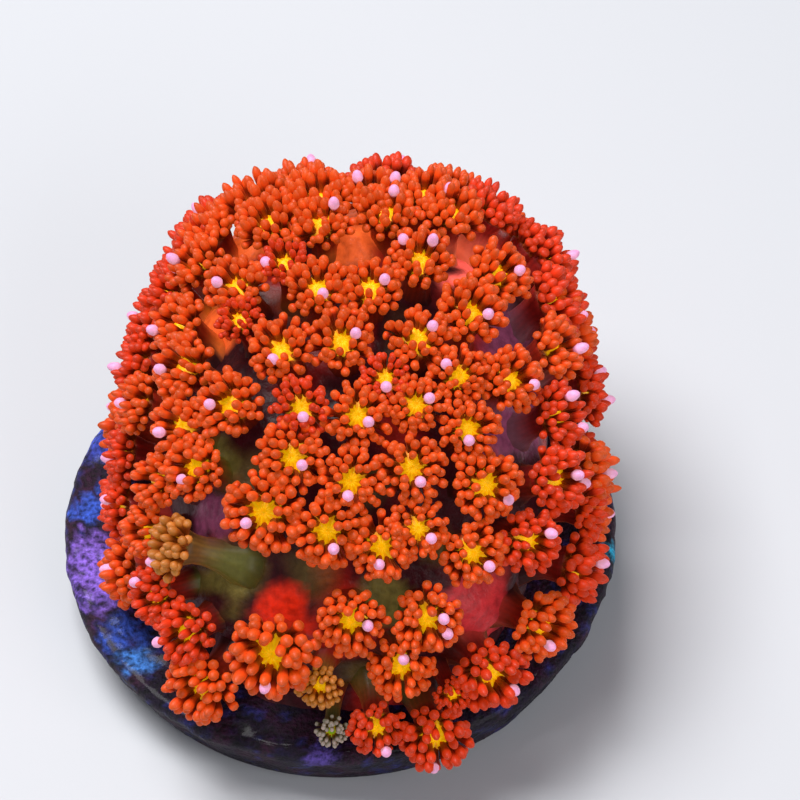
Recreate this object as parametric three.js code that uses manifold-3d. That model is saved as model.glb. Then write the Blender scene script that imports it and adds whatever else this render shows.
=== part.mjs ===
// A small colony of bernardpora coral, grown as a dome of flower-like polyps on a round frag disc.
// Millimetres, +Z up. The origin is the middle of the disc's flat underside. The colony's front, where
// the lowest polyps hang over the rim, looks along -Y.
import * as THREE from "three";
import { mergeVertices } from "three/addons/utils/BufferGeometryUtils.js";
import ManifoldModule from "manifold-3d";

const manifoldKit = await ManifoldModule();
manifoldKit.setup();

// Frag disc
const DISC_DIAMETER = 25.6;
const DISC_THICKNESS = 3.5;
const DISC_TAPER = 1.0;
const DISC_EDGE = 0.45;
const DISC_SIDES = 36;
const CRUST_HEIGHT = 0.28;

// Clear gap between the disc's top and the flat cut under the colony
const GAP = 0.3;

// Dome on which the crowns of all the polyps lie, and the flesh-covered mound inside it
const DOME_CENTRE = new THREE.Vector3(0.7, -1.4, 5.0);
const DOME_HALF = new THREE.Vector3(10.4, 11.3, 13.1);
const DOME_POWER = 2.6;
const DOME_LEAN_RIGHT = 0.06;
const DOME_LEAN_BACK = 0.34;
const COLUMN_LENGTH = 2.0;
const MOUND_SIDES = 16;
const MOUND_RINGS = 10;
const MOUND_RIPPLE = 0.3;
const UNDERCUT = 2.0;
const UNDERCUT_TOP = 9.0;

// One polyp of size 1, from its mouth: a column below it that widens to a cup with a lobed brim
const ROOT_DEPTH = 0.9;
const POLYP_LENGTH = COLUMN_LENGTH + ROOT_DEPTH;
const COLUMN_RADIUS = 0.8;
const WAIST_RADIUS = 0.62;
const WAIST_DEPTH = 1.1;
const CROWN_RADIUS = 1.5;
const CROWN_BRIM = 0.15;
const CROWN_TOP_RADIUS = 1.05;
const CROWN_TOP = 1.1;
const LOBES = 3;
const LOBE_OUT = 0.08;
const LOBE_UP = 0.12;
const LEAN_TO_VIEWER = 0.32;
const LEAN_FROM_STALK = 0.45;
const LOWEST_ROOT = DISC_THICKNESS + GAP + 0.8;

// The viewer stands in front of the colony and above it, and sees the disc's middle from this point
const EYE = new THREE.Vector3(2.9, -96.3, 142.8);
const EYE_PITCH = 53.5;
const EYE_ROLL = 1.74;
const SIGHT_REACH = 25;
const SIGHT_STEP = 0.05;

// Where the mouths of the polyps show from there: mm to the right of and above the middle of the
// disc's top, across the line of sight, and the size of the polyp. Where two more numbers follow, the
// polyp is side-on, and its column's root shows so far to the right of and above the usual place.
const POLYPS_IN_VIEW = [
  [[-3.9, 14.6, 1.1], [-1, 14.7, 1.1], [1.5, 14.9, 1], [4, 14.9, 1], [6.9, 14.2, 1]],
  [[-5.9, 13.1, 1], [-3.2, 13.6, 1.05], [-0.8, 13.6, 0.95], [2.1, 14.1, 1], [5.1, 14.1, 1.05]],
  [[9.5, 12, 1.1], [7.2, 11.3, 1.05], [-6.5, 11.8, 1], [-2.5, 11.8, 0.8], [3.7, 11.9, 1]],
  [[-7.8, 10.6, 1], [-4.7, 10.7, 1], [-1, 10.6, 1], [1.4, 10.6, 1], [9.7, 10.1, 1.15]],
  [[-8.6, 9, 1], [-7.3, 9, 1], [-4.6, 9.2, 0.75], [6, 9.5, 1.05], [9.8, 7.9, 1.05]],
  [[-9.1, 7.2, 1], [-7.1, 7, 1.05], [-2.7, 7.8, 1], [0.1, 8.2, 1], [3.6, 8.3, 1]],
  [[2.1, 6.5, 0.75], [5.5, 6.6, 0.9], [7.8, 6.4, 1], [11.2, 5.9, 1]],
  [[-9.1, 5.3, 1], [-5, 5.3, 1.05], [-1.8, 5.2, 0.9], [0.8, 4.8, 1], [3.5, 5.3, 0.9]],
  [[-9.7, 3.1, 1], [-7.2, 4.3, 1], [5.9, 4.2, 0.95], [9.9, 4.8, 1]],
  [[-8.3, 1.8, 0.9], [-6.6, 2.4, 1], [-2.2, 2.9, 1.05], [0.5, 1.8, 1], [3.3, 2.4, 1]],
  [[-9.9, 0.6, 0.95], [-3.5, 0.4, 1.2], [6.7, 1.6, 1.05], [9.8, 1.9, 1.1], [11.2, 0.5, 0.9]],
  [[-8.8, -0.5, 0.9], [-7.5, -1.2, 1, 2.4, -1], [-0.6, -0.5, 1.1], [1.9, -1.2, 1], [3.6, -0.4, 0.9]],
  [[6.1, -1.5, 1], [8.6, -0.9, 1], [10.8, -2.2, 1.15]],
  [[-8.4, -3.4, 0.95], [-7, -5.1, 1.05], [0.5, -4.6, 1.05], [4, -4.5, 1.05], [9.2, -4.8, 1.1]],
  [[-3.1, -6.1, 1.35], [2.8, -6.7, 1], [6.9, -7, 1.15]],
  [[-6.3, -7.6, 1.15], [-0.9, -7.6, 0.7], [5.2, -8, 0.6]],
  [[-0.4, -9.7, 0.5], [1.7, -9.5, 0.9], [4.4, -9.9, 1.1]],
];

// Rows of polyps round the back, which the viewer doesn't see: degrees from the vertical, the first
// and last bearing in degrees counterclockwise from +X, and how many stand between them.
const ROWS_BEHIND = [
  { slope: 46, from: 60, to: 132, count: 4 },
  { slope: 52, from: 14, to: 38, count: 2 },
  { slope: 60, from: 50, to: 134, count: 4 },
  { slope: 67, from: -10, to: 16, count: 2 },
  { slope: 74, from: 40, to: 166, count: 7 },
  { slope: 89, from: -4, to: 196, count: 11 },
];
// They stray from the even rows in waves along each row: in bearing, up the dome, and in size.
const STRAY_STEP = 1.9;
const STRAY_BEARING = 3;
const STRAY_UP = 6;
const STRAY_UP_WAVE = 1.3;
const STRAY_SIZE = 0.1;
const STRAY_SIZE_WAVE = 1.7;
const SIZE_BEHIND = 1.05;
// Each polyp is turned about its own axis by this much more than the one before, in radians.
const TURN_STEP = 2.4;

const COLOURS = {
  disc: 0x3a1f45,
  coral: 0xd4552a,
};

/** A point from the dome's middle, in its half-sizes, with the dome's lean right and back taken out. */
function fromDomeMiddle(point) {
  const rise = point.z - DOME_CENTRE.z;
  return new THREE.Vector3(
    (point.x - DOME_CENTRE.x - DOME_LEAN_RIGHT * rise) / DOME_HALF.x,
    (point.y - DOME_CENTRE.y - DOME_LEAN_BACK * rise) / DOME_HALF.y,
    rise / DOME_HALF.z,
  );
}

/** 1 on the dome, less inside it and more outside. */
function domeValue(point) {
  const q = fromDomeMiddle(point);
  return Math.abs(q.x) ** DOME_POWER + Math.abs(q.y) ** DOME_POWER + Math.abs(q.z) ** DOME_POWER;
}

/** Unit vector out of the dome at a point near it. */
function domeNormal(point) {
  const q = fromDomeMiddle(point);
  const steep = (value, half) => (Math.sign(value) * Math.abs(value) ** (DOME_POWER - 1)) / half;
  const right = steep(q.x, DOME_HALF.x);
  const back = steep(q.y, DOME_HALF.y);
  return new THREE.Vector3(
    right,
    back,
    steep(q.z, DOME_HALF.z) - DOME_LEAN_RIGHT * right - DOME_LEAN_BACK * back,
  ).normalize();
}

/** Point of the dome in a direction from its middle, shrunk toward the middle by an inset. */
function domePoint(direction, inset) {
  const power = Math.abs(direction.x / (DOME_HALF.x - inset)) ** DOME_POWER
    + Math.abs(direction.y / (DOME_HALF.y - inset)) ** DOME_POWER
    + Math.abs(direction.z / (DOME_HALF.z - inset)) ** DOME_POWER;
  const reach = power ** (-1 / DOME_POWER);
  const rise = direction.z * reach;
  return new THREE.Vector3(
    DOME_CENTRE.x + direction.x * reach + DOME_LEAN_RIGHT * rise,
    DOME_CENTRE.y + direction.y * reach + DOME_LEAN_BACK * rise,
    DOME_CENTRE.z + rise,
  );
}

/** How far inside the dome the mound's flesh is: a column's length, and more where it is undercut. */
function fleshInset(direction) {
  const height = domePoint(direction, COLUMN_LENGTH).z;
  const low = THREE.MathUtils.clamp((UNDERCUT_TOP - height) / (UNDERCUT_TOP - DISC_THICKNESS), 0, 1);
  return COLUMN_LENGTH + UNDERCUT * low * low;
}

/** Unit vector at an angle from the vertical, on a bearing counterclockwise from +X. */
function heading(slope, bearing) {
  const tilt = THREE.MathUtils.degToRad(slope);
  const turn = THREE.MathUtils.degToRad(bearing);
  return new THREE.Vector3(
    Math.sin(tilt) * Math.cos(turn),
    Math.sin(tilt) * Math.sin(turn),
    Math.cos(tilt),
  );
}

/** The shift that shows as so far to the right and so far up, square to the line of sight. */
function shiftInView(right, up) {
  const look = heading(90 + EYE_PITCH, 90);
  const across = new THREE.Vector3(1, 0, 0).applyAxisAngle(look, THREE.MathUtils.degToRad(EYE_ROLL));
  const upward = new THREE.Vector3().crossVectors(across, look);
  return across.multiplyScalar(right).addScaledVector(upward, up);
}

/** Point where the line of sight through a place in the view first meets the dome, or passes nearest it. */
function placeSeen(right, up) {
  const target = shiftInView(right, up).add(new THREE.Vector3(0, 0, DISC_THICKNESS));
  const sight = target.clone().sub(EYE).normalize();
  let nearest = target.clone().addScaledVector(sight, -SIGHT_REACH);
  for (let step = 1; step <= (2 * SIGHT_REACH) / SIGHT_STEP && domeValue(nearest) > 1; step += 1) {
    const point = target.clone().addScaledVector(sight, step * SIGHT_STEP - SIGHT_REACH);
    if (domeValue(point) < domeValue(nearest)) nearest = point;
  }
  return nearest;
}

/** A closed manifold solid made from a three.js geometry. */
function toSolid(geometry) {
  const bare = geometry.index ? geometry.toNonIndexed() : geometry.clone();
  bare.deleteAttribute("normal");
  bare.deleteAttribute("uv");
  const merged = mergeVertices(bare, 1e-4);
  return new manifoldKit.Manifold(new manifoldKit.Mesh({
    numProp: 3,
    vertProperties: new Float32Array(merged.attributes.position.array),
    triVerts: new Uint32Array(merged.index.array),
  }));
}

/** A three.js geometry with flat faces made from a manifold solid. */
function toGeometry(solid) {
  const mesh = solid.getMesh();
  const geometry = new THREE.BufferGeometry();
  geometry.setAttribute("position", new THREE.BufferAttribute(new Float32Array(mesh.vertProperties), 3));
  geometry.setIndex(Array.from(mesh.triVerts));
  geometry.computeVertexNormals();
  return geometry;
}

/** Moves each vertex of a geometry by a rule. */
function reshape(geometry, rule) {
  const places = geometry.attributes.position;
  const point = new THREE.Vector3();
  for (let index = 0; index < places.count; index += 1) {
    rule(point.fromBufferAttribute(places, index));
    places.setXYZ(index, point.x, point.y, point.z);
  }
  return geometry;
}

/** A turned solid with its axis along +Z, from a profile of radius and height. */
function turned(profile, sides) {
  const points = profile.map(([radius, height]) => new THREE.Vector2(radius, height));
  return new THREE.LatheGeometry(points, sides).rotateX(Math.PI / 2);
}

/** Smooth lumps of crust, at most one high, from where a point lies round the disc. */
function crustLump(point) {
  const bearing = Math.atan2(point.y, point.x);
  const waves = Math.sin(7 * bearing + 2 * point.z) + Math.sin(13 * bearing - point.z + 1)
    + Math.sin(4 * bearing + 0.5);
  return 0.5 + waves / 6;
}

/** The disc: flat below, tapered, with a rounded top edge and crust on its side. */
function discGeometry() {
  const top = DISC_DIAMETER / 2;
  const foot = top - DISC_TAPER;
  const height = DISC_THICKNESS;
  const profile = [
    [0, 0],
    [foot, 0],
    [foot + 0.5 * DISC_TAPER, 0.4 * height],
    [top, height - DISC_EDGE],
    [top - DISC_EDGE, height],
    [0.6 * top, height],
    [0, height],
  ];
  const geometry = turned(profile, DISC_SIDES);
  return reshape(geometry, (point) => {
    const radius = Math.hypot(point.x, point.y);
    if (point.z < 0.01 || radius < foot - 0.01) return;
    const lump = CRUST_HEIGHT * (crustLump(point) - 1);
    point.multiply(new THREE.Vector3(1 + lump / radius, 1 + lump / radius, 1));
  });
}

/** The flesh-covered mound, with soft folds, down to inside the disc. */
function moundGeometry() {
  const geometry = new THREE.SphereGeometry(1, MOUND_SIDES, MOUND_RINGS).rotateX(Math.PI / 2);
  return reshape(geometry, (point) => {
    const direction = point.clone().normalize();
    const fold = Math.sin(9 * direction.x + 2) * Math.sin(8 * direction.y) * Math.cos(7 * direction.z);
    point.copy(domePoint(direction, fleshInset(direction) - MOUND_RIPPLE * fold));
  });
}

/** One polyp with its mouth at the origin and its axis along +Z. */
function polypGeometry(size) {
  const profile = [
    [0, -POLYP_LENGTH / size],
    [COLUMN_RADIUS, -POLYP_LENGTH / size],
    [WAIST_RADIUS, -WAIST_DEPTH],
    [CROWN_RADIUS, CROWN_BRIM],
    [CROWN_TOP_RADIUS, CROWN_TOP],
    [0, 0],
  ].map(([radius, height]) => [radius * size, height * size]);
  const geometry = turned(profile, 2 * LOBES);
  return reshape(geometry, (point) => {
    const radius = Math.hypot(point.x, point.y);
    if (radius < 0.99 * CROWN_TOP_RADIUS * size) return;
    const wave = Math.cos(LOBES * Math.atan2(point.y, point.x));
    const grow = 1 + LOBE_OUT * wave;
    point.multiply(new THREE.Vector3(grow, grow, 1));
    point.z += LOBE_UP * size * wave;
  });
}

/** One polyp facing along an axis: its column bends down to a root under a place on the dome. */
function polypSolid(place, axis, size, turn, foot = place) {
  const facing = new THREE.Quaternion().setFromUnitVectors(new THREE.Vector3(0, 0, 1), axis);
  const geometry = polypGeometry(size).rotateZ(turn).applyQuaternion(facing);
  const inward = fromDomeMiddle(foot).multiply(DOME_HALF);
  const root = domePoint(inward, fleshInset(inward) + ROOT_DEPTH);
  root.z = Math.max(root.z, LOWEST_ROOT);
  const bend = root.sub(place).addScaledVector(axis, POLYP_LENGTH);
  reshape(geometry, (point) => {
    const depth = Math.max(0, -point.dot(axis) / POLYP_LENGTH);
    point.add(place).addScaledVector(bend, depth * depth);
  });
  return toSolid(geometry);
}

/** The polyps that the viewer sees, leaning a little to the light in front. */
function polypsInView() {
  return POLYPS_IN_VIEW.flat().map(([right, up, size, stalkRight = 0, stalkUp = 0], index) => {
    const place = placeSeen(right, up);
    const stalk = shiftInView(stalkRight, stalkUp);
    const toViewer = EYE.clone().sub(place).normalize();
    const axis = domeNormal(place);
    const facing = Math.max(0, axis.dot(toViewer));
    axis.addScaledVector(toViewer, LEAN_TO_VIEWER * facing);
    axis.addScaledVector(stalk, -LEAN_FROM_STALK).normalize();
    return polypSolid(place, axis, size, index * TURN_STEP, stalk.add(place));
  });
}

/** The rows of polyps round the back. */
function polypsBehind() {
  const solids = [];
  for (const { slope, from, to, count } of ROWS_BEHIND) {
    for (let index = 0; index < count; index += 1) {
      const stray = slope + index * STRAY_STEP;
      const bearing = from + ((to - from) * index) / (count - 1) + STRAY_BEARING * Math.sin(stray);
      const rise = STRAY_UP * (0.5 + 0.5 * Math.sin(STRAY_UP_WAVE * stray));
      const place = domePoint(heading(slope - rise, bearing), 0);
      const size = SIZE_BEHIND + STRAY_SIZE * Math.cos(STRAY_SIZE_WAVE * stray);
      solids.push(polypSolid(place, domeNormal(place), size, index * TURN_STEP));
    }
  }
  return solids;
}

/** The colony: mound and polyps grown together, cut off flat just above the disc. */
function colonyGeometry() {
  let colony = toSolid(moundGeometry());
  for (const polyp of [...polypsInView(), ...polypsBehind()]) {
    colony = colony.add(polyp);
  }
  const reach = DISC_DIAMETER / 2 + GAP;
  const clearHeight = DISC_THICKNESS + GAP;
  const clearance = turned([[0, -20], [reach, -20], [reach, clearHeight], [0, clearHeight]], DISC_SIDES);
  return toGeometry(colony.subtract(toSolid(clearance)));
}

/** A named mesh with a material of its own. */
function piece(name, geometry, colour, roughness) {
  const material = new THREE.MeshStandardMaterial({ color: colour, roughness, metalness: 0 });
  const mesh = new THREE.Mesh(geometry, material);
  mesh.name = name;
  return mesh;
}

const part = new THREE.Group();
part.name = "bernardpora_coral";
part.add(piece("frag_disc", discGeometry(), COLOURS.disc, 0.85));
part.add(piece("coral_colony", colonyGeometry(), COLOURS.coral, 0.45));

export default part;
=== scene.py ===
"""A small colony of bernardpora coral on its frag disc, dressed for the render.

The colony is a dome of flower-like polyps. Each polyp has a fleshy column, a yellow mouth disc and
rings of club-shaped tentacles, one or two of them ending in a pink ball. All lengths in this file are
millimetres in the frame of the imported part, and are turned to metres when a mesh is made.
"""

from __future__ import annotations

import logging
import math
from dataclasses import dataclass, field
from enum import Enum

import bpy
import numpy as np
from mathutils import Matrix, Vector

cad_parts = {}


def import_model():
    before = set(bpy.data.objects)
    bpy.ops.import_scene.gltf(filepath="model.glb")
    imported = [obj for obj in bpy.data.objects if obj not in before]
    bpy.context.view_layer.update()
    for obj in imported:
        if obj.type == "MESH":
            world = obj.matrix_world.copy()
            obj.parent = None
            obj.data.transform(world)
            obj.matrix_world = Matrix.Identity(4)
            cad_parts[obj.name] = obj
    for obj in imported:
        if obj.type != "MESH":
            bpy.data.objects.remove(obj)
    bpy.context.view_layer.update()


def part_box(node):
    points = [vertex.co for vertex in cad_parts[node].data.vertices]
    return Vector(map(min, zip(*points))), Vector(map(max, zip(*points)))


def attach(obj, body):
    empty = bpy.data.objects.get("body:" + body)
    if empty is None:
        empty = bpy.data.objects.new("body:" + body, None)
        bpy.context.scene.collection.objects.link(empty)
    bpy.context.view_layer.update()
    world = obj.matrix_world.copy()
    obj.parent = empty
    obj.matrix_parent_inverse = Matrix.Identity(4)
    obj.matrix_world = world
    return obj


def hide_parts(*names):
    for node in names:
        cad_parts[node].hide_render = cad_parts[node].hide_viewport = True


LOG = logging.getLogger("coral")
METRES = 0.001
SEED = 41
DISC_NODE = "frag_disc"
COLONY_NODE = "coral_colony"
TINT = "tint"  # Name of the painted colour on a mesh
# The glow is painted light: the meshes give off light though none of them is a lamp.
GLOW = "glow"  # Name of the share with which each point glows
SEED_STEP = 1000  # Keeps the polyps' seeds apart from those of the ripples
SENSOR = 36.0  # Width of the camera's sensor
SIGHT_REACH = 25.0  # How far before and behind the disc's middle a line of sight is followed
SIGHT_STEP = 0.05  # Distance between the points tried on it
CRUST_THICKNESS = 0.05  # How far the crust stands out of the solid disc
DISC_TAPER = 0.95  # How much less its radius is at its underside than the solid's at its top


class Tone(Enum):
    """How a polyp is coloured."""

    ORANGE = "orange"
    RED = "red"
    GOLDEN = "golden"
    PALE = "pale"


def srgb(red: float, green: float, blue: float) -> np.ndarray:
    """Turns a display colour into the linear colour that materials use.

    Args:
        red: Red, 0 to 255.
        green: Green, 0 to 255.
        blue: Blue, 0 to 255.

    Returns:
        Linear red, green and blue, 0 to 1.
    """
    value = np.array([red, green, blue]) / 255.0
    return np.where(value <= 0.04045, value / 12.92, ((value + 0.055) / 1.055) ** 2.4)


@dataclass(frozen=True)
class PolypColours:
    """The colours of one tone of polyp.

    Args:
        ball: Swollen end of a tentacle.
        tip: Very tip of a tentacle. Its colour is partly painted light: with the dimmer glow there it makes
            a ball's end darker in the middle than at its rim.
        neck: Thin part of a tentacle, darkened with painted shade for the shade between the balls.
        column: Flesh of the column near the crown.
        mouth: The mouth disc.
    """

    ball: np.ndarray
    tip: np.ndarray
    neck: np.ndarray
    column: np.ndarray
    mouth: np.ndarray


MOUTH_YELLOW = srgb(255, 166, 0)
MOUTH_GREEN = srgb(110, 130, 10)
MOUTH_DEEP = srgb(230, 104, 0)
# The necks' dark colours are painted shade, for the shade between the balls.
TONES = {
    Tone.ORANGE: PolypColours(
        srgb(212, 56, 8), srgb(192, 68, 22), srgb(106, 8, 0), srgb(140, 28, 10), MOUTH_YELLOW),
    Tone.RED: PolypColours(
        srgb(204, 42, 10), srgb(184, 46, 20), srgb(98, 4, 0), srgb(140, 22, 16), MOUTH_YELLOW),
    Tone.GOLDEN: PolypColours(
        srgb(158, 74, 20), srgb(172, 100, 46), srgb(124, 48, 6), srgb(112, 76, 32), MOUTH_YELLOW),
    Tone.PALE: PolypColours(
        srgb(96, 70, 70), srgb(150, 126, 130), srgb(60, 50, 30), srgb(84, 80, 44), MOUTH_GREEN),
}
BALL_PINK = srgb(214, 138, 190)
SHEEN_ORANGE = srgb(255, 130, 60)
FLESH_SALMON = srgb(150, 34, 38)
# The pink of a salmon patch, brightened as painted light to lift it out of the shade of the crowns.
FLESH_PINK_AND_PAINTED_LIGHT = srgb(244, 96, 84)
FLESH_RED = srgb(176, 30, 10)
FLESH_GOLD = srgb(206, 84, 34)
# The flesh's maroon, darkened as painted shade for the shade that falls between the crowns.
FLESH_MAROON_AND_SHADE = srgb(36, 4, 8)
FLESH_PURPLE = srgb(100, 46, 70)
FLESH_OLIVE = srgb(78, 68, 30)
CRUST_BASE = srgb(18, 7, 28)
CRUST_MAROON = srgb(40, 12, 34)
CRUST_BLUE = srgb(34, 44, 120)


@dataclass(frozen=True)
class Site:
    """Where a polyp's mouth shows from the front, and what it is like.

    Args:
        right: How far right of the disc's middle it shows.
        up: How far above the disc's middle it shows.
        size: Its size, 1 for most.
        pinks: Where its pink balls show, right of and above the mouth.
        tone: Its colouring.
        stalk: How far right of and above its usual place the root of its column shows. The polyp
            faces away from there.
    """

    right: float
    up: float
    size: float = 1.0
    pinks: tuple[tuple[float, float], ...] = ()
    tone: Tone = Tone.ORANGE
    stalk: tuple[float, float] = (0.0, 0.0)


RED, GOLDEN, PALE = Tone.RED, Tone.GOLDEN, Tone.PALE
SITES = (
    Site(-3.9, 14.6, 1.1), Site(-1.0, 14.7, 1.1), Site(1.5, 14.9, 1.0, ((-0.6, 0.4), (1.0, 0.1))),
    Site(4.0, 14.9, 1.0, ((0.9, -0.4),)), Site(6.9, 14.2, 1.0, (), RED),
    Site(-5.9, 13.1), Site(-3.2, 13.6, 1.05), Site(-0.8, 13.6, 0.95, ((0.5, 0.2),)),
    Site(2.1, 14.1, 1.0, ((0.6, 0.5),)), Site(5.1, 14.1, 1.05),
    Site(9.5, 12.0, 1.1, ((0.4, 0.4),), RED), Site(7.2, 11.3, 1.05, ((0.9, 0.1),)),
    Site(-6.5, 11.8, 1.0, ((-1.4, 0.4), (-0.7, 0.0))), Site(-2.5, 11.8, 0.8, ((-0.4, -0.1),), RED),
    Site(3.7, 11.9, 1.0, ((-0.9, 0.6), (0.5, 0.6))),
    Site(-7.8, 10.6, 1.0, (), RED), Site(-4.7, 10.7, 1.0, ((-0.3, -0.1),)),
    Site(-1.0, 10.6, 1.0, ((0.3, -0.3),)), Site(1.4, 10.6, 1.0, ((0.6, 0.1),)),
    Site(9.7, 10.1, 1.15, ((1.0, -0.7),), RED),
    Site(-8.6, 9.0, 1.0, ((-0.4, 0.9),), RED), Site(-7.3, 9.0, 1.0, ((-1.0, -0.2),)),
    Site(-4.6, 9.2, 0.75, (), RED), Site(6.0, 9.5, 1.05, ((0.3, 0.0),)),
    Site(9.8, 7.9, 1.05, ((0.4, 0.0),)),
    Site(-9.1, 7.2, 1.0, ((-0.5, -0.1),), RED), Site(-7.1, 7.0, 1.05, ((-0.5, -0.2),)),
    Site(-2.7, 7.8, 1.0, ((0.0, -0.2),)), Site(0.1, 8.2, 1.0, ((0.5, 0.1),)),
    Site(3.6, 8.3, 1.0, ((0.4, 0.2),)),
    Site(2.1, 6.5, 0.75, ((0.1, -0.4),), RED), Site(5.5, 6.6, 0.9, ((-0.8, 0.2),)),
    Site(7.8, 6.4, 1.0, ((0.7, -0.1),)), Site(11.2, 5.9, 1.0, ((0.7, 0.0),), RED),
    Site(-9.1, 5.3, 1.0, ((-0.5, 0.4),)), Site(-5.0, 5.3, 1.05, ((-0.4, -0.1),)),
    Site(-1.8, 5.2, 0.9, ((0.0, -0.2),), RED), Site(0.8, 4.8, 1.0, ((0.1, -0.2),)),
    Site(3.5, 5.3, 0.9, ((0.3, 0.2),)),
    Site(-9.7, 3.1, 1.0, ((-0.4, 0.2),), RED), Site(-7.2, 4.3, 1.0, ((-0.6, -0.2),)),
    Site(5.9, 4.2, 0.95, ((-0.2, -0.6),)), Site(9.9, 4.8, 1.0, ((0.1, 0.6), (1.1, -0.2)), RED),
    Site(-8.3, 1.8, 0.9), Site(-6.6, 2.4, 1.0, ((-0.4, -0.3),)), Site(-2.2, 2.9, 1.05, ((0.1, -0.1),)),
    Site(0.5, 1.8, 1.0, ((0.1, -0.4),)), Site(3.3, 2.4, 1.0, ((0.2, -0.3),)),
    Site(-9.9, 0.6, 0.95, ((-0.7, 0.5), (0.6, 0.0)), RED), Site(-3.5, 0.4, 1.2, ((-0.4, -0.2),)),
    Site(6.7, 1.6, 1.05, ((0.8, -0.5),)), Site(9.8, 1.9, 1.1, ((0.7, -0.1), (1.3, -0.2)), RED),
    Site(11.2, 0.5, 0.9, (), RED),
    Site(-8.8, -0.5, 0.9), Site(-7.5, -1.2, 1.0, ((-0.9, -0.6),), GOLDEN, (2.4, -1.0)),
    Site(-0.6, -0.5, 1.1, ((0.0, -0.2),)),
    Site(1.9, -1.2, 1.0, ((0.0, -0.5),)), Site(3.6, -0.4, 0.9, ((0.5, -0.2),)),
    Site(6.1, -1.5, 1.0, ((0.2, -0.2),)), Site(8.6, -0.9, 1.0, ((0.5, 0.2),), RED),
    Site(10.8, -2.2, 1.15, ((0.9, 0.0),), RED),
    Site(-8.4, -3.4, 0.95, ((-0.8, 0.6),), RED), Site(-7.0, -5.1, 1.05, ((-1.4, -0.6),), RED),
    Site(0.5, -4.6, 1.05, ((0.7, -0.2),)), Site(4.0, -4.5, 1.05, ((0.6, 0.1), (0.8, -0.6))),
    Site(9.2, -4.8, 1.1, ((-0.2, -0.8),)),
    Site(-3.1, -6.1, 1.35, ((0.0, -1.3),)), Site(2.8, -6.7, 1.0, ((0.2, 0.6),)),
    Site(6.9, -7.0, 1.15, ((1.0, -0.8),), RED),
    Site(-6.3, -7.6, 1.15, ((-0.5, 1.4),)), Site(-0.9, -7.6, 0.7, (), GOLDEN),
    Site(5.2, -8.0, 0.6, (), RED),
    Site(-0.4, -9.7, 0.5, (), PALE), Site(1.7, -9.5, 0.9, ((0.5, -0.8),), RED),
    Site(4.4, -9.9, 1.1, ((0.0, -1.2),), RED),
)


@dataclass(frozen=True)
class RowBehind:
    """A row of polyps round the back of the dome.

    Args:
        slope: Degrees from the vertical.
        first: Bearing of the first, degrees counterclockwise from +X.
        last: Bearing of the last.
        count: How many stand in the row.
    """

    slope: float
    first: float
    last: float
    count: int


ROWS_BEHIND = (
    RowBehind(46, 60, 132, 4), RowBehind(52, 14, 38, 2), RowBehind(60, 50, 134, 4),
    RowBehind(67, -10, 16, 2), RowBehind(74, 40, 166, 7), RowBehind(89, -4, 196, 11),
)


@dataclass
class Surface:
    """A mesh held as arrays, with a colour for each point.

    Args:
        points: Places of the points, one row each.
        quads: Point numbers of the four-sided faces.
        tris: Point numbers of the three-sided faces.
        tint: Linear colour of each point.
        glow: Share of its colour with which each point glows, as painted light.
    """

    points: np.ndarray
    quads: np.ndarray
    tris: np.ndarray
    tint: np.ndarray
    glow: np.ndarray

    @staticmethod
    def joined(parts: list[Surface]) -> Surface:
        """Puts several surfaces in one.

        Args:
            parts: The surfaces.

        Returns:
            One surface with the points and faces of all.
        """
        starts = np.cumsum([0] + [len(part.points) for part in parts[:-1]])
        return Surface(
            np.concatenate([part.points for part in parts]),
            np.concatenate([part.quads + start for part, start in zip(parts, starts)]),
            np.concatenate([part.tris + start for part, start in zip(parts, starts)]),
            np.concatenate([part.tint for part in parts]),
            np.concatenate([part.glow for part in parts]),
        )


END_POINT = 0.3  # How far a tube's end points stand out, in end radii
WAVE_SPREAD = (0.7, 1.4)  # Range of a ripple's wave numbers about the typical one


def tube_faces(tubes: int, rings: int, sides: int) -> tuple[np.ndarray, np.ndarray]:
    """Faces of tubes whose rings are grids and whose two ends close on a single point each.

    Each tube's points are its rings in order, then the point at its start, then the point at its end.

    Args:
        tubes: How many tubes.
        rings: Rings in a tube.
        sides: Points in a ring.

    Returns:
        The four-sided faces and the three-sided ones.
    """
    ring = np.arange(rings - 1)[:, None] * sides
    side = np.arange(sides)[None, :]
    after = (side + 1) % sides
    above = ring + sides
    quads = np.stack([ring + side, ring + after, above + after, above + side], -1).reshape(-1, 4)
    side, after = side[0], after[0]
    last = (rings - 1) * sides
    start = np.full(sides, rings * sides)
    end = start + 1
    tris = np.concatenate([
        np.stack([start, after, side], -1), np.stack([end, last + side, last + after], -1),
    ])
    offset = np.arange(tubes)[:, None, None] * (rings * sides + 2)
    return (quads[None] + offset).reshape(-1, 4), (tris[None] + offset).reshape(-1, 3)


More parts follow.
